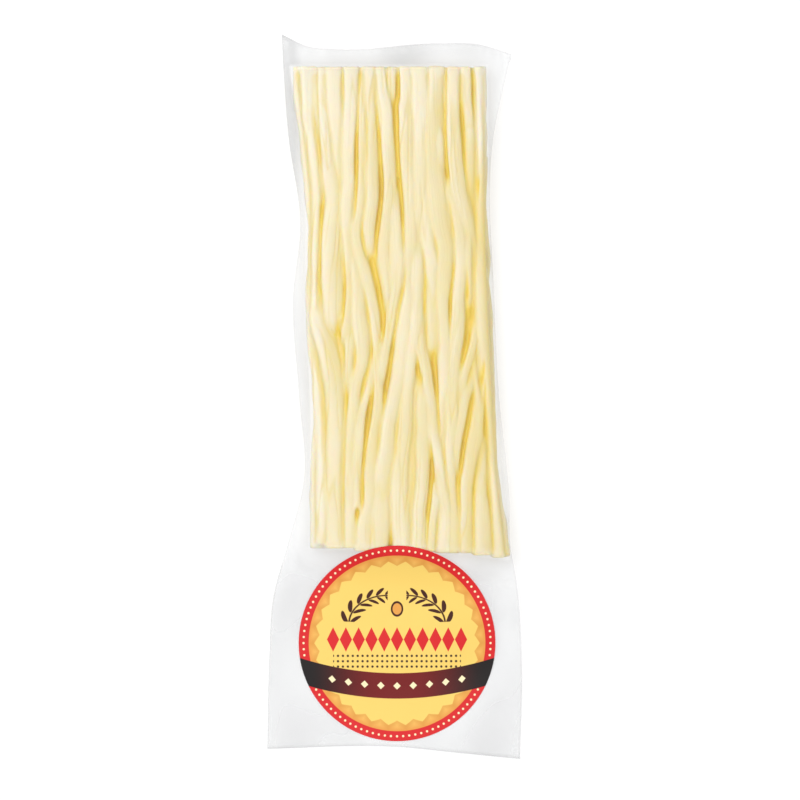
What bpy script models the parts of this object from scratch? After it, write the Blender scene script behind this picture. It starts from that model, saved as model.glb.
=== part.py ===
"""Vacuum pack of straight string cheese, lying flat, with a round label on its empty end.

Two solids: the vacuum pouch with its bundle of strings, which the film follows string by
string, and the label stuck on the film. Metres, +Z up. The origin lies on the table, under the
middle of the pack's box. +Y runs along the strings, away from the label.
"""

import math

import bmesh
import bpy
import numpy as np

MM = 0.001

# Driving dimensions, in millimetres.
BUNDLE_TOP_Y = 133.8        # the strings' even ends, near the pouch's top seal
BUNDLE_FOOT_Y = -62.0       # their uneven ends, beside the label
BUNDLE_HEIGHT = 14.0        # from the table to the top of the strings
WELD_Z = 6.2                # height of the two films where they meet round the bundle
FILM = 0.5                  # both films together, welded
LABEL_DIAMETER = 80.0
LABEL_CENTRE = (1.0, -100.0)
LABEL_THICKNESS = 0.4
LABEL_BRIDGE = 2.8          # how far past the longest strings the label keeps its height
GAP = 0.3                   # between the label and the film under it

# The strings of the top layer.
STRINGS = 16
WIDTH_SPREAD = 0.42         # how far a string's width departs from the average
CROWN_RISE = 0.7            # how far one string stands above its neighbours
CREASE_DEPTH = 1.7          # average depth of the crease between two strings
CREASE_SPREAD = 0.9
UNDER_CREASE = 0.9          # the same on the underside, which the table presses flat
CROWN_SHARES = (0.28, 0.72)  # the two edges of a string's crown, across its width
FOOT_STAGGER = 1.6          # unevenness of the strings' lower ends
SHORT_STRING = 5            # this one, counted from the left, ends early
SHORTFALL = 15.0

# The way the film comes down from the bundle.
SIDE_POWER = 4.0            # squareness of the bundle's cross-section
HEAD_FALL = 2.6             # length of the film's slope off the even ends
FOOT_FALL = 15.0            # the same at the uneven ends, where the label holds it off
DRAPE_LENGTH = 62.0         # from the bundle's foot to where the empty end lies on the table
FOOT_SPREAD = 0.92          # how near the mesh's inner columns come to the film's edges there
MARGIN_WAVE = 0.7           # ripple of the free margins

# Rows of the pouch's mesh.
BUNDLE_ROWS = 22
DRAPE_ROWS = 7
HEAD_ROWS = 3
MARGIN_COLUMNS = (0.0, 0.5, 0.88)       # from the film's edge in to the bundle
LABEL_RINGS = (0.4, 0.66, 0.82, 0.92, 1.0)    # their radii, as shares of the label's
LABEL_SIDES = 48

# Outlines, as (place along the pack, place across it) or the other way round for the two ends.
FILM_LEFT = ((-145, -51.8), (-106, -50.9), (-82, -49.3), (-58, -42.8), (-34, -36.8), (0, -38.7),
             (38, -41.2), (71, -38.3), (104, -42.8), (147, -46.0))
FILM_RIGHT = ((-147, 50.9), (-106, 51.7), (-74, 49.3), (-60, 46.9), (-42, 46.6), (0, 42.4),
              (40, 40.4), (104, 39.9), (139, 47.2))
BUNDLE_LEFT = ((-62, -32.2), (0, -32.8), (45, -35.0), (84, -35.0), (134, -41.8))
BUNDLE_RIGHT = ((-62, 45.4), (-30, 42.0), (0, 40.2), (60, 38.0), (134, 36.7))
TOP_EDGE = ((-46.0, 147.2), (-36, 142.4), (-24, 141.1), (18, 143.4), (34, 143.0), (47.2, 139.1))
BOTTOM_EDGE = ((-51.8, -143.1), (2, -142.4), (22, -144.4), (51, -147.2))


def smooth_line(stations, places):
    """A smooth curve through the stations, read at the places."""
    where, value = np.array(stations, dtype=float).T
    slope = np.gradient(value, where)
    places = np.clip(places, where[0], where[-1])
    left = np.clip(np.searchsorted(where, places, side="right") - 1, 0, len(where) - 2)
    span = where[left + 1] - where[left]
    t = (places - where[left]) / span
    keep = (1 + 2 * t) * (1 - t) ** 2
    reach = t * t * (3 - 2 * t)
    bend = span * (slope[left] * t * (1 - t) ** 2 - slope[left + 1] * t * t * (1 - t))
    return keep * value[left] + reach * value[left + 1] + bend


def smooth_step(t):
    """0 before 0, 1 after 1, and an even S between."""
    t = np.clip(t, 0.0, 1.0)
    return t * t * (3 - 2 * t)


class Strings:
    """The top layer's strings: their edges, crowns and creases along the bundle."""

    def __init__(self):
        chance = np.random.default_rng(17)
        self.width_cycles = chance.uniform(0.4, 1.5, STRINGS)
        self.width_phase = chance.uniform(0, 1, STRINGS)
        self.crown_cycles = chance.uniform(0.5, 1.8, STRINGS)
        self.crown_phase = chance.uniform(0, 1, STRINGS)
        self.crease_cycles = chance.uniform(0.6, 2.0, STRINGS + 1)
        self.crease_phase = chance.uniform(0, 1, STRINGS + 1)
        self.foot = BUNDLE_FOOT_Y + FOOT_STAGGER * chance.uniform(-1, 1, STRINGS)
        self.foot[SHORT_STRING] = BUNDLE_FOOT_Y + SHORTFALL

    def columns(self, y):
        """Across the bundle at y: each column's share of the width, rise, under rise, foot."""
        along = (y - BUNDLE_FOOT_Y) / (BUNDLE_TOP_Y - BUNDLE_FOOT_Y)
        widths = 1 + WIDTH_SPREAD * np.sin(math.tau * (along * self.width_cycles + self.width_phase))
        edges = np.concatenate([[0.0], np.cumsum(widths)]) / widths.sum()
        crowns = CROWN_RISE * np.sin(math.tau * (along * self.crown_cycles + self.crown_phase))
        creases = CREASE_DEPTH + CREASE_SPREAD * np.sin(
            math.tau * (along * self.crease_cycles + self.crease_phase))
        share, rise, under, foot = [], [], [], []
        for k in range(STRINGS):
            places = [0.0] + list(CROWN_SHARES)
            share += [edges[k] + s * (edges[k + 1] - edges[k]) for s in places]
            rise += [-creases[k], crowns[k], crowns[k]]
            under += [UNDER_CREASE, 0.0, 0.0]
            foot += [max(self.foot[k], self.foot[max(k - 1, 0)]), self.foot[k], self.foot[k]]
        share.append(1.0)
        rise.append(-creases[-1])
        under.append(UNDER_CREASE)
        foot.append(self.foot[-1])
        return tuple(np.array(values) for values in (share, rise, under, foot))


def film_middle(x, y, freedom):
    """Height of the two films where they meet. They ripple by their freedom from the strings."""
    drape = smooth_step((BUNDLE_FOOT_Y - y) / DRAPE_LENGTH)
    ripple = MARGIN_WAVE * freedom * np.sin(0.085 * y + 0.04 * x)
    return (WELD_Z + ripple) * (1 - drape) + 0.5 * FILM * drape


def fullness(y, foot):
    """1 where the strings fill the pouch, falling to 0 past their ends."""
    past_foot = np.clip((foot - y) / FOOT_FALL, 0.0, 1.0)
    past_head = np.clip((y - BUNDLE_TOP_Y) / HEAD_FALL, 0.0, 1.0)
    return 0.25 * (1 + np.cos(math.pi * past_foot)) * (1 + np.cos(math.pi * past_head))


def roundness(share):
    """Height of the bundle's rounded cross-section, 0 at its sides and 1 over its middle."""
    return np.sqrt(1 - np.abs(2 * share - 1) ** SIDE_POWER)


def bundle_sides(y):
    """The bundle's left and right sides, which spread out to the film's edges past its foot."""
    spread = smooth_step((BUNDLE_FOOT_Y - y) / DRAPE_LENGTH)
    sides = []
    for side, film in ((BUNDLE_LEFT, FILM_LEFT), (BUNDLE_RIGHT, FILM_RIGHT)):
        here = smooth_line(side, y)
        sides.append(here + spread * (FOOT_SPREAD * smooth_line(film, y) - here))
    return sides


def pouch_row(strings, y):
    """One row of the pouch's mesh: places across, and the heights of top and underside."""
    share, rise, under, foot = strings.columns(y)
    left, right = bundle_sides(y)
    film_left, film_right = smooth_line(FILM_LEFT, y), smooth_line(FILM_RIGHT, y)
    margin = np.array(MARGIN_COLUMNS)
    x = np.concatenate([film_left + margin * (left - film_left),
                        left + share * (right - left),
                        (film_right + margin * (right - film_right))[::-1]])
    held = fullness(y, foot)
    freedom = np.concatenate([1 - margin, 1 - held, (1 - margin)[::-1]])
    middle = film_middle(x, y, freedom)
    top, bottom = middle + 0.5 * FILM, middle - 0.5 * FILM
    swell = roundness(share) * held
    inside = slice(len(margin), len(margin) + len(share))
    top[inside] += swell * (BUNDLE_HEIGHT - WELD_Z - 0.5 * FILM + rise)
    bottom[inside] -= swell * (WELD_Z + 0.5 * FILM - under)
    return x, top, np.maximum(bottom, 0.0)


def row_places():
    """Every row's nominal place along the pack, from the bottom edge to the top edge."""
    drape = np.linspace(-145.0, BUNDLE_FOOT_Y - FOOT_FALL, DRAPE_ROWS)
    foot = BUNDLE_FOOT_Y - FOOT_FALL * np.array([0.78, 0.55, 0.33, 0.13, -0.05])
    bundle = np.linspace(BUNDLE_FOOT_Y + 5, BUNDLE_TOP_Y - 1.5, BUNDLE_ROWS)
    head_end = BUNDLE_TOP_Y + HEAD_FALL * np.array([0.0, 0.5, 1.0])
    head = np.linspace(BUNDLE_TOP_Y + HEAD_FALL, 143.0, HEAD_ROWS + 1)[1:]
    return np.concatenate([drape, foot, bundle, head_end, head])


def curved_place(x, y, rows):
    """The true place along the pack: the rows lean until the outer ones follow the edges."""
    top_share = np.clip((y - BUNDLE_TOP_Y - HEAD_FALL) / (rows[-1] - BUNDLE_TOP_Y - HEAD_FALL), 0, 1)
    bottom_start = BUNDLE_FOOT_Y - FOOT_FALL
    bottom_share = np.clip((bottom_start - y) / (bottom_start - rows[0]), 0, 1)
    top_shift = smooth_line(TOP_EDGE, x) - rows[-1]
    bottom_shift = smooth_line(BOTTOM_EDGE, x) - rows[0]
    return y + top_share * top_shift + bottom_share * bottom_shift


def new_object(name, mesh_data, material):
    """A named object with smooth faces and one material."""
    mesh = bpy.data.meshes.new(name)
    mesh_data.to_mesh(mesh)
    mesh_data.free()
    mesh.shade_smooth()
    mesh.set_sharp_from_angle(angle=math.radians(48))
    mesh.materials.append(material)
    item = bpy.data.objects.new(name, mesh)
    bpy.context.scene.collection.objects.link(item)
    return item


def close_sheet(shape, top_rows, bottom_rows):
    """Faces of a closed sheet between two grids of vertices with the same rows and columns."""
    last_row, last = len(top_rows) - 1, len(top_rows[0]) - 1
    for r in range(last_row):
        for c in range(last):
            shape.faces.new((top_rows[r][c], top_rows[r][c + 1],
                             top_rows[r + 1][c + 1], top_rows[r + 1][c]))
            shape.faces.new((bottom_rows[r][c], bottom_rows[r + 1][c],
                             bottom_rows[r + 1][c + 1], bottom_rows[r][c + 1]))
    for r in range(last_row):
        shape.faces.new((top_rows[r][0], top_rows[r + 1][0], bottom_rows[r + 1][0], bottom_rows[r][0]))
        shape.faces.new((top_rows[r][last], bottom_rows[r][last],
                         bottom_rows[r + 1][last], top_rows[r + 1][last]))
    for c in range(last):
        shape.faces.new((top_rows[0][c], bottom_rows[0][c], bottom_rows[0][c + 1], top_rows[0][c + 1]))
        shape.faces.new((top_rows[last_row][c], top_rows[last_row][c + 1],
                         bottom_rows[last_row][c + 1], bottom_rows[last_row][c]))


def make_pouch(material):
    """The pouch and its strings as one solid, out to the film."""
    strings = Strings()
    rows = row_places()
    shape = bmesh.new()
    top_rows, bottom_rows = [], []
    for nominal in rows:
        x, top, bottom = pouch_row(strings, nominal)
        y = curved_place(x, nominal, rows)
        top_rows.append([shape.verts.new(np.array(p) * MM) for p in zip(x, y, top)])
        bottom_rows.append([shape.verts.new(np.array(p) * MM) for p in zip(x, y, bottom)])
    close_sheet(shape, top_rows, bottom_rows)
    bmesh.ops.triangulate(shape, faces=shape.faces[:])
    return new_object("vacuum_pouch", shape, material)


def label_height(x, y):
    """The film's height under the label, which bridges the steps between the string ends."""
    left, right = bundle_sides(y)
    share = np.clip((x - left) / (right - left), 0.0, 1.0)
    held = fullness(y, BUNDLE_FOOT_Y - LABEL_BRIDGE)
    swell = roundness(share) * held * (BUNDLE_HEIGHT - WELD_Z + CROWN_RISE)
    return film_middle(x, y, 1 - held) + 0.5 * FILM + swell


def label_point(share, angle, lift):
    """A point of the label, at a share of its radius."""
    x = LABEL_CENTRE[0] + 0.5 * LABEL_DIAMETER * share * math.cos(angle)
    y = LABEL_CENTRE[1] + 0.5 * LABEL_DIAMETER * share * math.sin(angle)
    return x * MM, y * MM, (label_height(x, y) + lift) * MM


def make_label(material):
    """The round label, a thin disc that follows the film down to the table."""
    shape = bmesh.new()
    angles = [math.tau * k / LABEL_SIDES for k in range(LABEL_SIDES)]
    rims = []
    for lift, turn in ((GAP, -1), (GAP + LABEL_THICKNESS, 1)):
        centre = shape.verts.new(label_point(0.0, 0.0, lift))
        rings = [[shape.verts.new(label_point(share, angle, lift)) for angle in angles]
                 for share in LABEL_RINGS]
        for k in range(LABEL_SIDES):
            after = (k + 1) % LABEL_SIDES
            shape.faces.new((centre, rings[0][k], rings[0][after])[::turn])
            for inner, outer in zip(rings, rings[1:]):
                shape.faces.new((inner[k], outer[k], outer[after], inner[after])[::turn])
        rims.append(rings[-1])
    under, over = rims
    for k in range(LABEL_SIDES):
        after = (k + 1) % LABEL_SIDES
        shape.faces.new((over[k], under[k], under[after], over[after]))
    bmesh.ops.triangulate(shape, faces=shape.faces[:])
    return new_object("label", shape, material)


def plain_material(name, color, roughness):
    """A Principled material of one colour."""
    material = bpy.data.materials.new(name)
    material.use_nodes = True
    surface = material.node_tree.nodes["Principled BSDF"]
    surface.inputs["Base Color"].default_value = (*color, 1.0)
    surface.inputs["Roughness"].default_value = roughness
    surface.inputs["Metallic"].default_value = 0.0
    return material


def main():
    for item in list(bpy.data.objects):
        bpy.data.objects.remove(item, do_unlink=True)
    make_pouch(plain_material("cheese_in_film", (0.90, 0.77, 0.42), 0.25))
    make_label(plain_material("label_paper", (0.80, 0.34, 0.08), 0.45))


main()
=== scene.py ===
"""Looks of the vacuum pack of straight string cheese: its strings, clear film and label.

All lengths below are millimetres in the pack's own frame, as in the CAD: the origin on the table
under the middle of the pack, +Y along the strings and away from the label, +Z up.
"""

import math

import bmesh
import bpy
import numpy as np
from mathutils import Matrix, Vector, noise
from mathutils.bvhtree import BVHTree


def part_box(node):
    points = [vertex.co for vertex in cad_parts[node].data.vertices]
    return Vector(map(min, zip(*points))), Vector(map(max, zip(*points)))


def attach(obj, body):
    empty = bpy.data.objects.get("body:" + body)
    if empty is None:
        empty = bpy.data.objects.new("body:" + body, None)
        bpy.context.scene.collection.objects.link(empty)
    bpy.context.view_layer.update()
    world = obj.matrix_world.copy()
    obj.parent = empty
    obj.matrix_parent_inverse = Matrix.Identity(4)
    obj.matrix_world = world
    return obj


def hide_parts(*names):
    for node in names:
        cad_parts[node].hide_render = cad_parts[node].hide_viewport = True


MM = 0.001

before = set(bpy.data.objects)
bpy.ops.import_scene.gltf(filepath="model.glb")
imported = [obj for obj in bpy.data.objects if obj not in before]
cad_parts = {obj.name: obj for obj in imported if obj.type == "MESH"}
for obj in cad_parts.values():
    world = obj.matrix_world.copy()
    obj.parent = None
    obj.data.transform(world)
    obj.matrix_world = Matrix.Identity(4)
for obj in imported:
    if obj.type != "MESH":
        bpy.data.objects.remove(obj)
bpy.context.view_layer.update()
label_low, label_high = (np.array(corner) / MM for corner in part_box("label"))
label_centre = 0.5 * (label_low + label_high)
label_radius = 0.5 * (label_high[0] - label_low[0])

# The bundle.
BUNDLE_TOP_Y = 133.8
BUNDLE_FOOT_Y = -62.0
BUNDLE_HEIGHT = 14.0
WELD_Z = 6.2               # height of the two films where they meet round the bundle
SIDE_POWER = 6.0           # squareness of the bundle's cross-section
DRAPE_LENGTH = 62.0        # from the bundle's foot to where the empty end lies on the table
FOOT_LINE = ((-34, -60.3), (-20, -61.4), (0, -62.0), (25, -62.8), (34, -63.6), (46, -65.6))

# The strings.
STRING_STEP = 1.7          # between a string's sections
STRING_SIDES = 20
WANDER = 0.12              # how far a string strays from its course, across and in height
WIDTH_WANDER = 0.035       # and the share by which its width varies
THINNEST = 2.2             # height that a string tends to as it gets narrower
THICKENING = 0.5           # how much higher it is for each mm of width
END_REACH = 0.5            # a string's cut ends are rounded over this length,
END_SHRINK = 0.7           # and are this much narrower and lower
FIBRE = 0.05               # relief of the fibres along a string
SQUARENESS = 3.2           # how boxy a string's pressed section is; 2 would be an ellipse
TILT = 0.055               # how much the slope of a string's top varies
LEAN = -0.075              # its mean slope: each string tucks under the next on its right
TILT_REACH = 32.0
SPREAD_DEPTH = 1.4         # strings deeper than this don't meet their neighbours
SPREAD_REACH = 6
# Gap between two neighbours as charted, and how far each of them really reaches past its chart.
GAPS = (-1.0, -0.3, 0.2, 1.0, 2.0, 3.0, 5.0)
GROWTHS = (0.9, 1.15, 1.05, 0.7, 0.78, 1.0, 1.75)
CREASE_FROM = 0.1          # gap between charted strings that starts a crease
CREASE_OPEN = 1.6          # gap past that which makes it fully deep
WIDE_FROM = 0.9            # gap that starts to make it deeper still
WIDE_OPEN = 1.6
WIDE_GAIN = 0.45
CREASE_HALF = 0.5
CREASE_REACH = (1.8, 0.9)  # how far it reaches to its left and to its right, in such halves
CREASE_DEPTH = 0.4
LAYER_STRINGS = 16         # in each hidden layer
LAYER_SQUARENESS = 2.4
# A hidden layer's middle height, the strings' height, inset from the sides, and rise and fall.
MIDDLE_LAYER = (9.4, 5.8, 1.5, 0.5)
BOTTOM_LAYER = (3.05, 4.8, 3.6, 0.0)
CORE_INSET = 3.0           # the pressed middle, behind the strings that show
CORE_RISE = 3.4
CORE_SIDES = 28
CORE_ROWS = 40
VOXEL = 0.44               # how finely the strings are grown together
SQUEEZE = 0.34             # how much shorter the bundle is while they are, for voxels long in y
SOFTENING = 1
STRING_APART = 31.7        # keeps each string's fibres and furrows unlike the next one's
FURROW_PITCH = 3.1         # furrows between the finer strands that make up a string
FURROW_LENGTH = 38.0
FURROW_HALF = 0.13
FURROW_DEPTH = 0.26

# The cheese's colour follows a depth under the crowns, in millimetres. Down in creases and furrows this
# is painted shade: the deeper, the more golden and darker.
CROWN_REACH = 2.2          # how far from a place its crown may be
BED_Z = 0.9                # height of the lowest strings' undersides
SIDE_SLOPE = 0.6           # how fast the strings deepen in colour, as painted shade, from the bundle's sides and ends
# Painted shade added in the furrows and creases, as extra depth.
FURROW_SHADE = 0.4
CREASE_SHADE = 1.25
PALEST = 0.5               # how much paler than a clean crown the palest cheese is
TONE_DEPTH = 0.55          # how much yellower some strings are than others
TONE_REACH = 45.0
PAINTED_LIGHT_LEFT = 0.44           # painted light: how much paler the strings down the left side are,
PAINTED_LIGHT_LOW = 0.6             # by how much more of that lower down,
PALE_HEAD = 0.34           # how much paler those at the head,
PALE_CORNER = 0.42         # and how much more in its right corner
PAINTED_SHADE_RIGHT = 0.4           # painted shade: how much yellower the strings down the right side are,
PAINTED_SHADE_STRING = 0.35         # and how much more painted shade the one inside them gets
# Where they are so, each from where it starts to where it is in full.
LEFT_SIDE = (-26, -32)
LOWER_DOWN = (48, 23)
HEAD = (92, 122)
CORNER = ((31, 33), (95, 105))
RIGHT_SIDE = ((31, 37), (96, 84), (-40, -15))
INSIDE_STRING = ((28, 30), (34, 32), (112, 100))
DEEPEST = 1 / 0.32         # depth of the last of the tones
# Colours along the depth: pale crowns and each string's own tone, then painted shade, more golden and
# darker, down in creases and furrows.
CHEESE_TONES_AND_SHADE = ((0.0, (0.81, 0.768, 0.615, 1)), (0.16, (0.82, 0.74, 0.535, 1)),
                (0.25, (0.785, 0.695, 0.425, 1)), (0.41, (0.78, 0.665, 0.325, 1)),
                (0.633, (0.79, 0.64, 0.21, 1)), (0.855, (0.81, 0.63, 0.105, 1)),
                (1.0, (0.78, 0.575, 0.045, 1)))
FIELD_STEP = 0.25          # grid across the bundle for what is told from the strings' places

# The film.
FILM_COLUMNS = 138
FILM_ROWS = 190
FILM_HALF = 0.05           # half the thickness of the welded films
FILM_LIFT = 0.13           # the film's distance to the strings it is drawn on
FILM_RISE = 0.35           # height of the weld over its even middle
RIPPLE = 0.55              # height of the film's long waves,
CRUMPLE = 0.10             # of its short ones,
GATHERS = 0.2              # and of the small gathers in it round the bundle
PULL = 0.34                # curvature that the vacuum gives the free film, per mm
LABEL_PULL = 0.035         # the same where the label stiffens it
DRAPE_STEPS = 420
LOOSE_FROM = 1.0           # this far off the bundle the film is loose, and shows its own haze,
LOOSE_WELL = 9.0           # and this far off it shows it in full
FILM_HAZE = 0.06           # haze beside the bundle
LOOSE_HAZE = 0.14          # and how much more well away from it
FILM_GLOSS = 0.05
EDGE_GLOSS = 0.55          # how much glossier the film is where it turns away
DIMNESS_DEPTH = 0.085         # how much dimmer the film is for each unit of dimness, which comes in soft patches and grows towards its upper-left corner
OFF_REACH = 30.0           # how far from the bundle the film's tones are told apart
# The film's see-through colour by distance off the bundle: clear where it clings to the cheese, greyer
# farther off, and kept clearer near the bundle as painted light against the floor's shade there.
FILM_TONES = ((0, (0.975, 0.976, 0.978, 1)), (0.8, (0.95, 0.951, 0.954, 1)),
              (5, (0.95, 0.951, 0.954, 1)), (14, (0.918, 0.918, 0.920, 1)))

# The label.
LABEL_LIFT = 0.1
LABEL_NEAR = 1.3           # the stiff paper bridges dips narrower than about twice this
LABEL_PAPER = 0.12
LABEL_SIDES = 120
LABEL_RINGS = 26
RING_OUTER = 40.2
RING_INNER = 35.9
RING_MIDDLE = 38.0
RING_DOTS = 96
FIELD_RADIUS = 33.6
RAYS = 30
RAY_DEPTH = 2.0
RIBBON_Y = -17.5
RIBBON_HALF = 5.2
RIBBON_BEND = -0.004
BEAD_PITCH = 6.6           # beads along the ribbon
LOZENGE_PITCH = 5.2
LOZENGE_Y = 1.5
DOTS_Y = -7.4              # three rows of dots about this height
DOT_PITCH = 2.0
ROW_PITCH = 2.2
SPRIG_X = 4.0              # centre and radius of the arc each sprig follows
SPRIG_Y = 8.0
SPRIG_RADIUS = 11.5
LEAF_PITCH = 3.3
BUD_Y = 14.0

# Inks.
RED = (0.655, 0.02, 0.023, 1)
ORANGE = (0.76, 0.335, 0.07, 1)
YELLOW = (0.92, 0.60, 0.15, 1)
FIELD = (0.87, 0.605, 0.148, 1)
SHADE = (0.60, 0.22, 0.03, 1)
PALE = (0.92, 0.80, 0.50, 1)
BLACK = (0.012, 0.009, 0.009, 1)
DARK_RED = (0.17, 0.01, 0.01, 1)
BROWN = (0.055, 0.014, 0.008, 1)
GREY = (0.06, 0.035, 0.02, 1)

FILM_LEFT = ((-145, -51.8), (-106, -50.9), (-82, -49.3), (-58, -42.8), (-34, -36.8), (0, -38.7),
             (38, -41.2), (71, -38.3), (104, -42.8), (147, -46.0))
FILM_RIGHT = ((-147, 50.9), (-106, 51.7), (-74, 49.3), (-60, 46.9), (-42, 46.6), (0, 42.4),
              (40, 40.4), (104, 39.9), (139, 47.2))
BUNDLE_LEFT = ((-62, -33.7), (0, -34.0), (45, -35.8), (84, -35.9), (134, -42.2))
BUNDLE_RIGHT = ((-62, 46.2), (-30, 42.7), (0, 40.9), (60, 38.4), (134, 37.4))
TOP_EDGE = ((-46.0, 147.2), (-36, 142.4), (-24, 141.1), (18, 143.4), (34, 143.0), (47.2, 139.1))
BOTTOM_EDGE = ((-51.8, -143.1), (2, -142.4), (22, -144.4), (51, -147.2))

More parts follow.
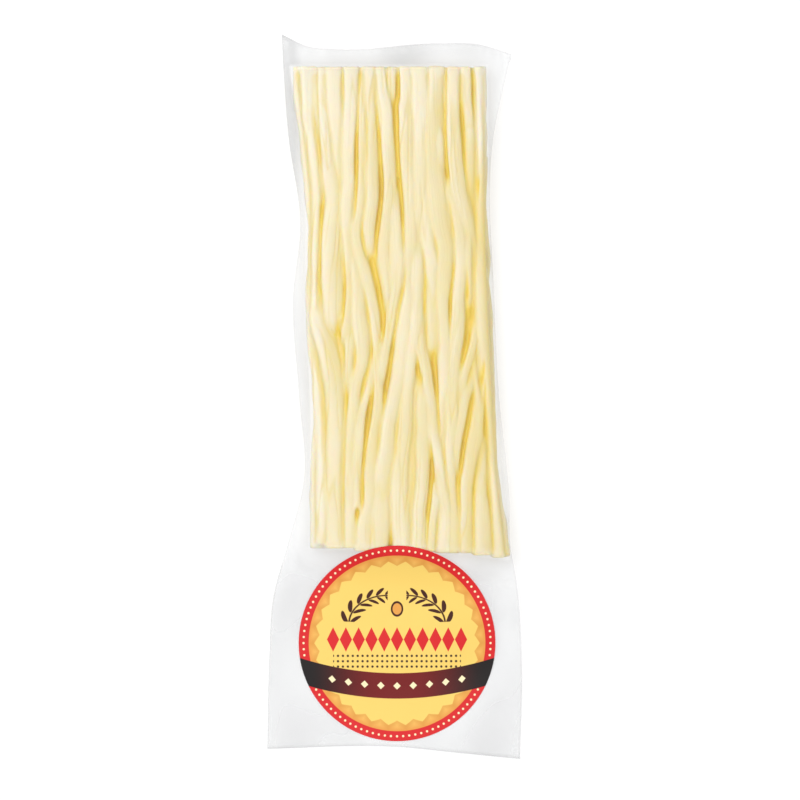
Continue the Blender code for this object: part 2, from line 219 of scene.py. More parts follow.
# Courses of the strings that show: (y, x, width, depth under the bundle's top) at each bend. The
# depth is left out where it is 0.
COURSES = (
    ((134, -39, 4, 0.3), (120, -38.8, 4, 0.2), (108, -37, 4), (92, -35.3, 4.5), (76, -33.3, 5),
     (60, -33, 4.5), (50, -33.4, 5, 0.1), (42, -33.1, 6.4, 0.3), (27, -33.3, 5, 0.2), (11, -31.3, 6),
     (-9, -30.3, 5.5), (-30, -31, 6.2), (-62, -30.8, 6.8)),
    ((134, -34.5, 5.3), (116, -34.3, 5), (100, -33, 4.2, 0.2), (84, -31, 3.5, 0.8), (68, -31, 3, 2.5)),
    ((134, -29.3, 3.2, 0.4), (120, -29, 3.6), (104, -28, 4), (92, -26.7, 5.2), (80, -24.8, 6.9),
     (60, -25.4, 8.2), (43, -25.2, 8), (31, -24.8, 5.9, 0.6), (21, -23.5, 4, 3)),
    ((134, -24.6, 5.8), (120, -24.2, 5.6), (108, -23.5, 5, 0.1), (96, -22.2, 4.5, 0.2),
     (86, -21, 3, 1.2), (78, -20.5, 2.5, 3)),
    ((134, -17.6, 5.6), (120, -17.8, 5.2), (104, -18.7, 4.8), (84, -19, 5), (64, -19, 4, 0.4),
     (47, -17.6, 3.8, 0.5), (35, -18.3, 3.4, 0.3), (25, -20, 3), (19, -20.5, 2.2, 2)),
    ((134, -12, 2.5, 1), (120, -13, 2.4, 0.6), (104, -13.1, 2.6, 0.3), (88, -13.1, 3, 0.2),
     (76, -14, 2.8), (66, -15.6, 3), (58, -14.3, 3.6), (49, -11.8, 4), (39, -9.3, 3.8, 0.5),
     (29, -7.8, 3.8, 0.6), (19, -7, 3.6, 0.4), (9, -6.6, 3.2, 0.3), (-1, -6.6, 3.2), (-7, -6.9, 3.4),
     (-17, -8.7, 3.8), (-30, -10, 4.4), (-44, -10.7, 3.9), (-50, -11.9, 5.8), (-62, -12.3, 6.2)),
    ((134, -9.8, 4, 0.2), (120, -9.7, 3.6), (108, -9.1, 3.4), (92, -8.8, 4.4), (80, -9, 4.8),
     (68, -10.3, 4.6, 0.1), (60, -9.9, 3, 0.8), (51, -8.5, 2.5, 2.8)),
    ((134, -5.8, 3.6, 0.6), (124, -5.3, 4.2, 0.2), (114, -4, 5), (100, -2.6, 4.9), (84, -1.7, 4.8),
     (72, -3.2, 4), (60, -4.7, 4.2), (49, -3.6, 4.5), (41, -2.8, 3.2, 0.3), (35, -2.5, 2, 1.5)),
    ((84, 0.4, 2.5, 1.2), (74, 0.2, 4), (64, 0.3, 5), (54, 1, 6), (45, 0.2, 5.5), (37, -0.8, 4),
     (29, -1.7, 3), (21, -3.2, 3), (13, -4.8, 3.4, 0.2), (5, -5.8, 2.6, 1), (-3, -6, 2, 3)),
    ((134, -1.2, 3.4, 0.4), (127, -1.2, 3, 0.8), (118, -0.8, 2.4, 1.6), (110, 0, 2, 3.2)),
    ((134, 3.9, 3.6, 0.2), (124, 4.8, 4.6), (114, 5.3, 5.4), (100, 5, 5.8), (88, 5.7, 5),
     (72, 6.3, 4.6), (58, 6.2, 4.2), (47, 6, 3, 0.2), (39, 5.3, 4.4), (27, 3.6, 5.6), (15, 2.4, 5.6),
     (3, 0.4, 5.4), (-7, -1.6, 5.8), (-19, -3, 6), (-34, -4.7, 7.5), (-46, -5.6, 7.9),
     (-62, -6.3, 7.4)),
    ((134, 9.6, 6.4, 0.2), (122, 10.5, 6.2), (108, 10.4, 6.4), (92, 10.4, 5.4), (76, 9.8, 4, 0.2),
     (64, 8.8, 3.6, 0.3), (51, 9.3, 4.4), (39, 9, 4.6), (27, 8.5, 4), (17, 6.9, 3.6), (5, 5.5, 3.6),
     (-9, 4.2, 4.6), (-21, 3.2, 5.2), (-36, 2, 6.4), (-50, 2.4, 7.2), (-62, 2.6, 6.6)),
    ((134, 16.9, 5.9, 0.2), (120, 16.8, 6.2), (104, 16, 7.2), (84, 16.8, 8.4), (70, 18.6, 8.0),
     (60, 20.7, 6.6), (49, 19.9, 5.9), (39, 19.3, 4.6, 0.3), (27, 20, 3.6, 0.3), (15, 20.7, 4.6),
     (-1, 20.5, 5), (-13, 20.3, 3.4, 0.4), (-24, 19.4, 2.6, 2)),
    ((84, 12.3, 1.6, 0.4), (76, 12.7, 2.7, 0.2), (69, 12.9, 3.8), (62, 13.4, 4.8), (56, 14.6, 5),
     (47, 15.6, 5.6, 0.2), (35, 16, 6, 0.7), (23, 15.7, 5, 1.1), (13, 15, 3.4, 2), (5, 14.5, 3, 3.5)),
    ((134, 23.7, 4.6, 0.2), (116, 23.5, 5), (102, 24.2, 5.8), (92, 25, 6), (84, 26.2, 6.0),
     (74, 28.3, 5.2, 0.1), (64, 30, 4.2, 0.4), (54, 31.3, 4.4, 0.8), (43, 32.6, 4.4, 1),
     (33, 33, 3.6, 2.4)),
    ((89, 22.2, 2.2, 1.5), (83, 23, 2.8, 0.2), (74, 25, 3.6), (64, 26.4, 4, 0.1), (54, 26.7, 4.2, 0.3),
     (43, 25.9, 4.6, 0.5), (31, 25.3, 4.6, 0.2), (19, 24.2, 5), (7, 23.4, 5), (-5, 23.2, 4.6),
     (-17, 22.7, 4), (-28, 22.4, 3.4), (-38, 23.5, 3.6, 0.6), (-50, 24, 4, 0.6),
     (-62, 23.5, 4.4, 0.4)),
    ((134, 28.4, 3.8, 0.3), (120, 29, 4, 0.3), (106, 30.2, 3.4, 0.9), (92, 30.7, 3, 1.3),
     (78, 31.8, 3.2, 1.3), (64, 34, 4, 1.2), (51, 35.5, 4, 1.5), (39, 37.5, 3.6, 1.6),
     (23, 38.3, 3.6, 1.5), (7, 38.9, 3.6, 1.3), (-13, 39.4, 4, 1), (-30, 39.8, 4.6, 0.8),
     (-42, 41.3, 5, 0.5), (-54, 42.8, 6, 0.3), (-62, 43.4, 6.4, 0.3)),
    ((134, 34.8, 4.8, 0.1), (116, 34.9, 5), (100, 34.9, 4.8), (89, 34.5, 4.2, 0.2)),
    ((98, 37.2, 1.8, 2.4), (91, 36.6, 2.4, 1.6), (80, 35.6, 3.2, 1.2), (68, 36.2, 3.4, 1.6),
     (56, 37.4, 3, 2), (43, 37, 2.6, 3)),
    ((39, 35.5, 3, 1.8), (30, 34.8, 3.2, 0.6), (23, 33.4, 3.4, 0.3), (16, 30.9, 3.4, 0.2),
     (9, 28.2, 3.4, 0.2), (1, 26.6, 3.2, 0.5), (-9, 25.3, 3, 0.8), (-19, 24, 2.6, 1.5)),
    ((14, 34, 3, 1), (8, 32, 3.2, 0.6), (1, 29.2, 3.4, 0.3), (-7, 27.3, 3.4, 0.3),
     (-17, 25.2, 3.4, 0.3), (-28, 24.2, 3.4, 0.8), (-34, 24.6, 2.6, 1.8), (-42, 25.2, 2, 3)),
    ((5, 34.2, 3, 1.2), (-3, 33.8, 4.2, 0.2), (-13, 33, 4.8), (-24, 31, 4.8), (-34, 29.3, 4.6),
     (-46, 28.9, 4.6), (-62, 29, 5)),
    ((-13, 36.5, 2.5, 1.5), (-24, 35.4, 3, 0.9), (-34, 34.7, 4, 0.4), (-46, 35.3, 5.8),
     (-62, 35.9, 7)),
    ((31, 36.3, 3, 2), (19, 35.8, 3.4, 1.6), (3, 35, 3.6, 1.5), (-9, 36.3, 2.6, 1.5),
     (-21, 37.3, 2.6, 1.6), (-34, 37.6, 2.4, 2)),
    ((10, 10.5, 2, 2.5), (4, 11.2, 3, 0.6), (-5, 11.2, 3.6), (-17, 11.5, 4.4), (-32, 11.6, 4.6),
     (-46, 10.4, 4.6), (-62, 9.8, 5)),
    ((35, 11.7, 2, 1.6), (25, 10.6, 3, 0.3), (17, 11.1, 3.6), (9, 13, 3.4), (-1, 14.8, 3.2),
     (-11, 15.2, 3.8), (-21, 17.1, 3.6), (-32, 18.3, 3.8), (-42, 19.6, 4.6), (-52, 20, 5, 0.1),
     (-62, 19.5, 5.2, 0.1)),
    ((-34, 16.6, 1.8, 1), (-41, 16.5, 2.4, 0.1), (-50, 15.4, 2.6), (-62, 14.5, 3)),
    ((64, -17, 2, 1.8), (55, -15.7, 3, 0.4), (43, -14.9, 4.2), (33, -14.3, 5.4), (23, -13.1, 6.2),
     (15, -13, 4.8), (5, -15.6, 4.2), (-9, -17.2, 4.4), (-26, -18, 4, 0.1), (-42, -18.4, 3.8, 0.1),
     (-62, -17.8, 4.6, 0.3)),
    ((30, -16.6, 2.4, 1.2), (23, -17.9, 3.2, 0.1), (15, -18.5, 3), (5, -18.6, 2.4, 0.8),
     (-3, -18.6, 2, 2.2)),
    ((19, -8.3, 2, 1.8), (12, -8.8, 2.6, 0.8), (3, -10.9, 2.8, 0.6), (-6, -13.2, 2.8, 0.2),
     (-17, -14.3, 3.2), (-32, -15.1, 2.6), (-45, -15, 2.3)),
    ((46, -33.6, 3.6, 0.7), (39, -31.9, 4.6), (31, -30.1, 6.6, -0.3), (23, -27.2, 9.6, -0.3),
     (13, -25.1, 8.6, -0.1), (3, -24, 7.2), (-13, -23.8, 6.9), (-34, -24.5, 6.3), (-62, -24, 6.6)),
    ((19, 8.6, 3, 2), (7, 8.2, 3.4, 1.3), (-13, 8.1, 3.2, 1.3), (-34, 7.3, 3.2, 1.1),
     (-62, 6, 3, 0.8)),
)


# ---- shapes of lines and surfaces

def smooth_line(stations, places):
    """A smooth curve through (place, value) stations, read at the places."""
    where, value = np.array(sorted(stations), dtype=float).T
    slope = np.gradient(value, where)
    places = np.clip(places, where[0], where[-1])
    left = np.clip(np.searchsorted(where, places, side="right") - 1, 0, len(where) - 2)
    span = where[left + 1] - where[left]
    t = (places - where[left]) / span
    keep = (1 + 2 * t) * (1 - t) ** 2
    reach = t * t * (3 - 2 * t)
    bend = span * (slope[left] * t * (1 - t) ** 2 - slope[left + 1] * t * t * (1 - t))
    return keep * value[left] + reach * value[left + 1] + bend


def smooth_step(t):
    """0 before 0, 1 after 1, and an even S between."""
    t = np.clip(t, 0.0, 1.0)
    return t * t * (3 - 2 * t)


def ramp(place, start, end):
    """0 up to the start, 1 from the end on, and an even S between."""
    return smooth_step((place - start) / (end - start))


def bulged(wave, power):
    """A wave from -1 to 1 made squarer, by a power under 1, with its signs kept."""
    return np.sign(wave) * np.abs(wave) ** power


def ripples(chance, x, y, reach_x, reach_y, waves=7):
    """A smooth random field of about unit height, with bumps of the given reach each way."""
    total = np.zeros(np.broadcast(x, y).shape)
    for _ in range(waves):
        turn = chance.uniform(0, math.tau)
        along = math.cos(turn) * x / reach_x + math.sin(turn) * y / reach_y
        total = total + np.sin(math.pi * along * chance.uniform(0.6, 1.4) + chance.uniform(0, math.tau))
    return total / math.sqrt(waves / 2)


def sway(chance, y, reach):
    """Ripples along a single line."""
    return ripples(chance, 0.0, y, 1.0, reach)


def bundle_sides(y):
    """Where the bundle's left and right sides are at places along it."""
    return smooth_line(BUNDLE_LEFT, y), smooth_line(BUNDLE_RIGHT, y)


def bundle_share(x, y):
    """How far across the bundle a place lies, 0 at its left side and 1 at its right."""
    left, right = bundle_sides(y)
    return np.clip((x - left) / (right - left), 0.0, 1.0)


def bundle_top(x, y):
    """Height of the bundle's even outer form over a place."""
    round_off = np.sqrt(1 - np.abs(2 * bundle_share(x, y) - 1) ** SIDE_POWER)
    return WELD_Z + round_off * (BUNDLE_HEIGHT - WELD_Z)


# ---- meshes

def make_mesh(name, points, faces, material):
    """A smooth-shaded object from points in millimetres."""
    mesh = bpy.data.meshes.new(name)
    mesh.from_pydata((np.asarray(points) * MM).tolist(), [], faces)
    mesh.validate()
    mesh.shade_smooth()
    mesh.materials.append(material)
    item = bpy.data.objects.new(name, mesh)
    bpy.context.scene.collection.objects.link(item)
    return item


def add_values(item, name, values):
    """A number for each of the mesh's points, for its material to read."""
    layer = item.data.attributes.new(name, "FLOAT", "POINT")
    layer.data.foreach_set("value", np.asarray(values, dtype=np.float32))


def read_vectors(items, name):
    """A vector of each of the items, one to a row."""
    values = np.empty(3 * len(items))
    items.foreach_get(name, values)
    return values.reshape(-1, 3)


def move_points(mesh, points):
    """Put the mesh's points at new places, in metres."""
    mesh.vertices.foreach_set("co", points.ravel())
    mesh.update()


def tube_faces(first, sections, sides):
    """Faces of a closed tube whose points start at first, with a cap's centre after each end."""
    faces = []
    for s in range(sections - 1):
        for k in range(sides):
            a = first + s * sides + k
            b = first + s * sides + (k + 1) % sides
            faces.append((a, b, b + sides, a + sides))
    start = first + sections * sides
    last = start - sides
    for k in range(sides):
        after = (k + 1) % sides
        faces.append((start, first + after, first + k))
        faces.append((start + 1, last + k, last + after))
    return faces


class String:
    """One string: a course along the pack with a rounded, pressed cross-section."""

    def __init__(self, chance, y, x, width, height, top, squareness, tilt=0.0, lean=0.0):
        self.y, self.x, self.width, self.height = y, x, width, height
        self.middle = top - 0.5 * height
        self.squareness = squareness
        self.tilt = lean + tilt * sway(chance, y, TILT_REACH)
        self.chance = chance

    def points(self, sides):
        """Points of its sections from one end to the other, then the two cap centres."""
        turn = np.arange(sides) * math.tau / sides
        power = 2 / self.squareness
        across, upward = bulged(np.cos(turn), power), bulged(np.sin(turn), power)
        phase = self.chance.uniform(0, math.tau, sides)
        pace = self.chance.uniform(0.02, 0.09, sides)
        strength = self.chance.uniform(0.2, 1, sides)
        fibre = FIBRE * strength * np.sin(self.y[:, None] * pace * math.pi + phase)
        size = 1 + fibre / (0.25 * (self.width + self.height))[:, None]
        x = self.x[:, None] + 0.5 * self.width[:, None] * across * size
        z = self.middle[:, None] + 0.5 * self.height[:, None] * upward * size
        z = z + self.tilt[:, None] * (x - self.x[:, None])
        y = np.repeat(self.y[:, None], sides, axis=1)
        ring = np.stack([x, y, z], axis=2).reshape(-1, 3)
        ends = [(self.x[e], self.y[e], self.middle[e]) for e in (0, -1)]
        return np.concatenate([ring, ends])


def pressed_courses():
    """Courses on even steps, each string spread to meet its neighbours: (y, x, width, depth)."""
    y = np.arange(BUNDLE_FOOT_Y, BUNDLE_TOP_Y + 0.5, 1.0)
    lines = np.full((len(COURSES), 3, len(y)), np.nan)
    for n, course in enumerate(COURSES):
        course = np.array([(*bend, 0)[:4] for bend in course], dtype=float)
        inside = (y >= course[:, 0].min()) & (y <= course[:, 0].max())
        for k in range(3):
            lines[n, k, inside] = smooth_line(list(zip(course[:, 0], course[:, k + 1])), y[inside])
    x, width, depth = lines[:, 0], lines[:, 1], lines[:, 2]
    gain = np.zeros((2, len(COURSES), len(y)))
    creases = []
    for row in range(len(y)):
        shown = [n for n in range(len(COURSES)) if depth[n, row] < SPREAD_DEPTH]
        shown.sort(key=lambda n: x[n, row])
        for a, b in zip(shown, shown[1:]):
            gap = x[b, row] - x[a, row] - 0.5 * (width[a, row] + width[b, row])
            grow = np.interp(gap, GAPS, GROWTHS)
            gain[1, a, row] = grow
            gain[0, b, row] = grow
            meet = 0.5 * (x[a, row] + 0.5 * width[a, row] + x[b, row] - 0.5 * width[b, row])
            half = CREASE_HALF + max(0.5 * gap - grow, 0)
            strength = smooth_step((gap - CREASE_FROM) / CREASE_OPEN)
            strength = strength * (1 + WIDE_GAIN * smooth_step((gap - WIDE_FROM) / WIDE_OPEN))
            creases.append((y[row], meet + 0.5 * CREASE_HALF, strength, half))
    kernel = np.hanning(2 * SPREAD_REACH + 1)[1:-1]
    kernel = kernel / kernel.sum()
    pressed = []
    for n in range(len(COURSES)):
        inside = ~np.isnan(x[n])
        reach = len(kernel) // 2
        left, right = (np.convolve(np.pad(gain[side, n, inside], reach, "edge"), kernel, "valid")
                       for side in (0, 1))
        pressed.append((y[inside], x[n, inside] + 0.5 * (right - left),
                        width[n, inside] + left + right, depth[n, inside]))
    return pressed, creases


def crease_field(creases, rows, x):
    """How deep a crease runs at each place of a grid, from 0 to 1."""
    field = np.zeros((len(rows), len(x)))
    for y, meet, strength, half in creases:
        row = int(round(y - rows[0]))
        reach = half * np.where(x < meet, *CREASE_REACH)
        field[row] = np.maximum(field[row], strength * np.clip(1 - np.abs(x - meet) / reach, 0, 1))
    for _ in range(3):
        field[1:-1] = 0.25 * field[:-2] + 0.5 * field[1:-1] + 0.25 * field[2:]
    return field


def read_field(field, rows, x, points):
    """Values of a grid at places between its points."""
    across = np.clip((points[:, 0] - x[0]) / (x[1] - x[0]), 0, len(x) - 1.001)
    along = np.clip((points[:, 1] - rows[0]) / (rows[1] - rows[0]), 0, len(rows) - 1.001)
    c, r = across.astype(int), along.astype(int)
    u, v = across - c, along - r
    near = field[r, c] * (1 - u) + field[r, c + 1] * u
    far = field[r + 1, c] * (1 - u) + field[r + 1, c + 1] * u
    return near * (1 - v) + far * v


def course_string(chance, line_y, line_x, line_width, line_depth):
    """The string along one of the pressed courses."""
    low, high = line_y[0], line_y[-1]
    if low <= BUNDLE_FOOT_Y:
        low = foot_place(line_x[0]) + chance.uniform(-0.8, 0.5)
    if high >= BUNDLE_TOP_Y - 1:
        high = BUNDLE_TOP_Y + chance.uniform(-0.5, 0.2)
    y = string_places(low, high)
    x, width, depth = (np.interp(y, line_y, line) for line in (line_x, line_width, line_depth))
    x = x + WANDER * sway(chance, y, 9.0)
    width = width * (1.0 + WIDTH_WANDER * sway(chance, y, 7.0))
    height = THINNEST + THICKENING * width
    top = bundle_top(x, y) - depth + WANDER * sway(chance, y, 14.0)
    return end_rounded(String(chance, y, x, width, height, top, SQUARENESS, TILT, LEAN))


def foot_place(x):
    """Where the strings end, by the label."""
    return float(smooth_line(FOOT_LINE, np.array([x]))[0])


def string_places(low, high):
    """Places of a string's sections, with extra ones close to its rounded ends."""
    even = np.linspace(low, high, max(4, int((high - low) / STRING_STEP)))
    near = END_REACH * np.array([0.0, 0.16, 0.44, 1.0])
    return np.concatenate([low + near, even[1:-1], (high - near)[::-1]])


def end_rounded(string):
    """The same string with its cut ends rounded off a little."""
    past = np.minimum(string.y - string.y[0], string.y[-1] - string.y)
    share = np.sqrt(1 - (1 - np.clip(past / END_REACH, 0, 1)) ** 2)
    string.width = string.width - END_SHRINK * (1 - share)
    string.height = string.height - END_SHRINK * (1 - share)
    return string


def layer_strings(chance, middle_z, height, inset, rise):
    """A hidden layer of strings, side by side across the bundle at one height."""
    y = string_places(BUNDLE_FOOT_Y - 3.0, BUNDLE_TOP_Y)
    along = (y - BUNDLE_FOOT_Y) / (BUNDLE_TOP_Y - BUNDLE_FOOT_Y)
    cycles = chance.uniform(0.4, 1.6, LAYER_STRINGS)
    phase = chance.uniform(0, 1, LAYER_STRINGS)
    widths = 1 + 0.3 * np.sin(math.tau * (along[:, None] * cycles + phase))
    edges = np.concatenate([np.zeros((len(y), 1)), np.cumsum(widths, axis=1)], axis=1)
    edges = edges / edges[:, -1:]
    left, right = bundle_sides(y)
    left, right = left + inset, right - inset
    places = left[:, None] + edges * (right - left)[:, None]
    strings = []
    for k in range(LAYER_STRINGS):
        middle_x = 0.5 * (places[:, k] + places[:, k + 1])
        keep = y > foot_place(middle_x[0]) + chance.uniform(-0.8, 1.5)
        x = middle_x[keep]
        width = 1.04 * (places[:, k + 1] - places[:, k])[keep]
        tall = height + 0.3 * sway(chance, y[keep], 20.0)
        top = middle_z + 0.5 * tall + rise * sway(chance, y[keep], 30.0)
        strings.append(end_rounded(String(chance, y[keep], x, width, tall, top, LAYER_SQUARENESS)))
    return strings


def drop_specks(mesh):
    """Keep the largest closed shell alone, without the specks inside it."""
    form = bmesh.new()
    form.from_mesh(mesh)
    seen, shells = set(), []
    for start in form.verts:
        if start in seen:
            continue
        seen.add(start)
        shell = [start]
        for vert in shell:
            near = [edge.other_vert(vert) for edge in vert.link_edges]
            fresh = [other for other in near if other not in seen]
            seen.update(fresh)
            shell += fresh
        shells.append(shell)
    shells.sort(key=len)
    specks = [vert for shell in shells[:-1] for vert in shell]
    bmesh.ops.delete(form, geom=specks, context="VERTS")
    form.to_mesh(mesh)
    form.free()


def grown_together(strings, material):
    """The strings and their core as one body, with the bundle squeezed along its length."""
    points, faces, first = [], [], 0
    for string in strings:
        own = string.points(STRING_SIDES)
        faces += tube_faces(first, len(string.y), STRING_SIDES)
        points.append(own)
        first += len(own)
    core, core_faces = core_shape(first)
    points = np.concatenate(points + [core]) * (1, SQUEEZE, 1)
    item = make_mesh("cheese_strings", points, faces + core_faces, material)
    grow = item.modifiers.new("grow", "REMESH")
    grow.mode = "VOXEL"
    grow.voxel_size = VOXEL * MM
    soften = item.modifiers.new("soften", "SMOOTH")
    soften.factor = 0.5
    soften.iterations = SOFTENING
    shape = item.evaluated_get(bpy.context.evaluated_depsgraph_get())
    mesh = bpy.data.meshes.new_from_object(shape)
    item.modifiers.clear()
    item.data = mesh
    drop_specks(mesh)
    return item


def fused_bundle(strings, creases, material):
    """All the strings as one body, grown together softly where they press on each other."""
    item = grown_together(strings, material)
    mesh = item.data
    grown = read_vectors(mesh.vertices, "co") / (1, SQUEEZE, 1)
    move_points(mesh, grown)
    crowns, own, across, crease = bundle_fields(strings, creases, grown / MM)
    furrow = furrows(across, grown[:, 1] / MM)
    sunk = furrow * FURROW_DEPTH + crease * CREASE_DEPTH
    grown = grown - read_vectors(mesh.vertex_normals, "vector") * (sunk * MM)[:, None]
    move_points(mesh, grown)
    mesh.shade_smooth()
    x, y, z = grown.T / MM
    left, right = bundle_sides(y)
    inside = np.minimum.reduce([x - left, right - x, BUNDLE_TOP_Y - y, y - smooth_line(FOOT_LINE, x)])
    # Painted shade: depth under the crowns, furrows and creases turn the cheese more golden and darker.
    depth = np.minimum.reduce([crowns - z, z - BED_Z, inside * SIDE_SLOPE]).clip(0)
    depth = depth + furrow * FURROW_SHADE + crease * CREASE_SHADE * smooth_step(inside)
    add_values(item, "depth", depth + string_tones(own, x, y) + PALEST)
    add_values(item, "across", across)
    return item


def string_tones(own, x, along):
    """How much yellower each place is than the palest string, as a depth: each string's own tone, painted
    light down the left side, painted shade down the right side and on a string inside it, and paler at
    the head and its right corner.
    """
    places = np.arange(BUNDLE_FOOT_Y - 10, BUNDLE_TOP_Y + 10, 2.0)
    tones = np.zeros(len(own))
    for n in np.unique(own):
        line = [noise.noise(Vector((3.7 * n, y / TONE_REACH, 4.0))) for y in places]
        mine = own == n
        tones[mine] = np.interp(along[mine], places, np.clip(line, -0.2, 0.6)) + 0.2
    # Painted light down the left side, more of it lower down; paler at the head and in its right corner.
    pale = PAINTED_LIGHT_LEFT * ramp(x, *LEFT_SIDE) * (1 + PAINTED_LIGHT_LOW * ramp(along, *LOWER_DOWN))
    pale = pale + PALE_HEAD * ramp(along, *HEAD)
    pale = pale + PALE_CORNER * ramp(x, *CORNER[0]) * ramp(along, *CORNER[1])
    # Painted shade down the right side, and more on one string inside it.
    right, below, above = RIGHT_SIDE
    deep = PAINTED_SHADE_RIGHT * ramp(x, *right) * ramp(along, *below) * ramp(along, *above)
    left, right, below = INSIDE_STRING
    deep = deep + PAINTED_SHADE_STRING * ramp(x, *left) * ramp(x, *right) * ramp(along, *below)
    return TONE_DEPTH * tones - pale + deep


def furrows(across, along):
    """Share of a furrow's depth at places given across their own string and along the pack."""
    values = np.empty(len(across))
    for n, (u, v) in enumerate(zip(across, along)):
        line = noise.noise(Vector((u / FURROW_PITCH, v / FURROW_LENGTH, 0.0)))
        patch = noise.noise(Vector((u / (4 * FURROW_PITCH), v / FURROW_LENGTH, 9.0)))
        values[n] = max(0.0, 1 - abs(line) / FURROW_HALF) * min(max(0.3 + 2.4 * patch, 0.0), 1.0)
    return values


def bundle_fields(strings, creases, points):
    """For points on the bundle: the crowns round each, its string, its place across it, its crease."""
    x = np.arange(label_low[0] - 12, label_high[0] + 12, FIELD_STEP)
    y = np.arange(BUNDLE_FOOT_Y - 4, BUNDLE_TOP_Y + 4, 1.0)
    top, _, owner = string_surfaces(strings, y, np.tile(x, (len(y), 1)))
    crowns = top
    for shift in range(1, int(CROWN_REACH / FIELD_STEP) + 1):
        crowns = np.maximum.reduce([crowns, np.roll(top, shift, 1), np.roll(top, -shift, 1)])
    crowns = np.clip(crowns, WELD_Z, None)
    for axis in 4 * (1, 0):
        crowns = (np.roll(crowns, 1, axis) + crowns + np.roll(crowns, -1, axis)) / 3
    column = np.clip(np.rint((points[:, 0] - x[0]) / FIELD_STEP).astype(int), 0, len(x) - 1)
    row = np.clip(np.rint(points[:, 1] - y[0]).astype(int), 0, len(y) - 1)
    own = owner[row, column]
    across = np.empty(len(points))
    for n, string in enumerate(strings):
        mine = own == n
        across[mine] = points[mine, 0] - np.interp(points[mine, 1], string.y, string.x) + STRING_APART * n
    crease = read_field(crease_field(creases, y, x), y, x, points)
    crease = crease * smooth_step((points[:, 2] - WELD_Z) / 2.0)
    return read_field(crowns, y, x, points), own, across, crease


def core_shape(first):
    """The pressed middle of the bundle: its points, and its faces with points numbered from first."""
    rows = np.linspace(BUNDLE_FOOT_Y + CORE_INSET, BUNDLE_TOP_Y - CORE_INSET, CORE_ROWS)
    turn = np.arange(CORE_SIDES) * math.tau / CORE_SIDES
    rings = []
    for y in rows:
        left, right = bundle_sides(y)
        left, right = left + CORE_INSET, right - CORE_INSET
        x = 0.5 * (left + right) + 0.5 * (right - left) * np.cos(turn)
        z = WELD_Z + CORE_RISE * bulged(np.sin(turn), 0.4)
        rings.append(np.stack([x, np.full(CORE_SIDES, y), z], axis=1))
    ends = [rings[0].mean(axis=0), rings[-1].mean(axis=0)]
    return np.concatenate(rings + [np.array(ends)]), tube_faces(first, len(rows), CORE_SIDES)


# ---- film

def film_grid():
    """Places of the film's points: a row for each step along the pack, edge to edge."""
    rows = np.linspace(-145.0, 143.0, FILM_ROWS)
    left, right = smooth_line(FILM_LEFT, rows), smooth_line(FILM_RIGHT, rows)
    across = np.linspace(0, 1, FILM_COLUMNS)
    x = left[:, None] + across * (right - left)[:, None]
    y = np.repeat(rows[:, None], FILM_COLUMNS, axis=1)
    head, foot = BUNDLE_TOP_Y + 2.0, BUNDLE_FOOT_Y - 12.0
    top_share = np.clip((y - head) / (rows[-1] - head), 0, 1)
    bottom_share = np.clip((foot - y) / (foot - rows[0]), 0, 1)
    y = y + top_share * (smooth_line(TOP_EDGE, x) - rows[-1])
    y = y + bottom_share * (smooth_line(BOTTOM_EDGE, x) - rows[0])
    return rows, x, y


def film_middle(chance, x, y):
    """Height of the two films where they meet, wherever there is no bundle between them."""
    drape = smooth_step((BUNDLE_FOOT_Y - y) / DRAPE_LENGTH)
    ripple = RIPPLE * ripples(chance, x, y, 30.0, 22.0)
    crumple = CRUMPLE * ripples(chance, x, y, 5.0, 9.0, waves=12)
    off = off_bundle(x, y)
    ends = np.maximum(y - BUNDLE_TOP_Y, smooth_line(FOOT_LINE, x) - y)
    near_end = smooth_step(ends / 1.5) * np.exp(-(ends.clip(0) / 9.0) ** 2)
    near_side = smooth_step(off / 1.5) * (1 - smooth_step(ends / 1.5)) * np.exp(-(off / 8.0) ** 2)
    gathers = GATHERS * (near_end * ripples(chance, x, y, 2.4, 12.0, waves=14)
                         + 0.6 * near_side * ripples(chance, x, y, 9.0, 3.4, waves=14))
    base = WELD_Z * (1 - drape) + FILM_RISE + gathers
    return np.maximum(base + (ripple + crumple) * (1 - 0.55 * drape), FILM_HALF + 0.03)


def string_surfaces(strings, rows, x):
    """Highest top and lowest underside of the strings over a grid, and whose top it is."""
    top = np.full(x.shape, -1e3)
    under = np.full(x.shape, 1e3)
    owner = np.zeros(x.shape, dtype=int)
    for n, string in enumerate(strings):
        inside = (rows >= string.y[0]) & (rows <= string.y[-1])
        centre, width, height, middle, tilt = (
            np.interp(rows, string.y, line)[:, None]
            for line in (string.x, string.width, string.height, string.middle, string.tilt))
        offset = np.abs(x - centre) / (0.5 * width)
        rise = (1 - np.clip(offset, 0, 1) ** string.squareness) ** (1 / string.squareness)
        here = inside[:, None] & (offset < 1)
        lean = middle + tilt * (x - centre)
        higher = here & (lean + 0.5 * height * rise > top)
        owner[higher] = n
        top = np.where(higher, lean + 0.5 * height * rise, top)
        under = np.where(here, np.minimum(under, lean - 0.5 * height * rise), under)
    return top, under, owner


def drawn_tight(height, floor, pull, steps, dx, dy):
    """The lowest stretched skin over a floor, sucked down by pull. Its outer edge stays put."""
    both = dx ** 2 + dy ** 2
    weight_x, weight_y = dy ** 2 / both, dx ** 2 / both
    drop = 0.5 * pull * dx ** 2 * dy ** 2 / both
    height = np.maximum(height, floor)
    for _ in range(steps):
        inner = (0.5 * weight_x[1:-1, 1:-1] * (height[1:-1, :-2] + height[1:-1, 2:])
                 + 0.5 * weight_y[1:-1, 1:-1] * (height[:-2, 1:-1] + height[2:, 1:-1]))
        height[1:-1, 1:-1] = np.maximum(inner - drop[1:-1, 1:-1], floor[1:-1, 1:-1])
    return height


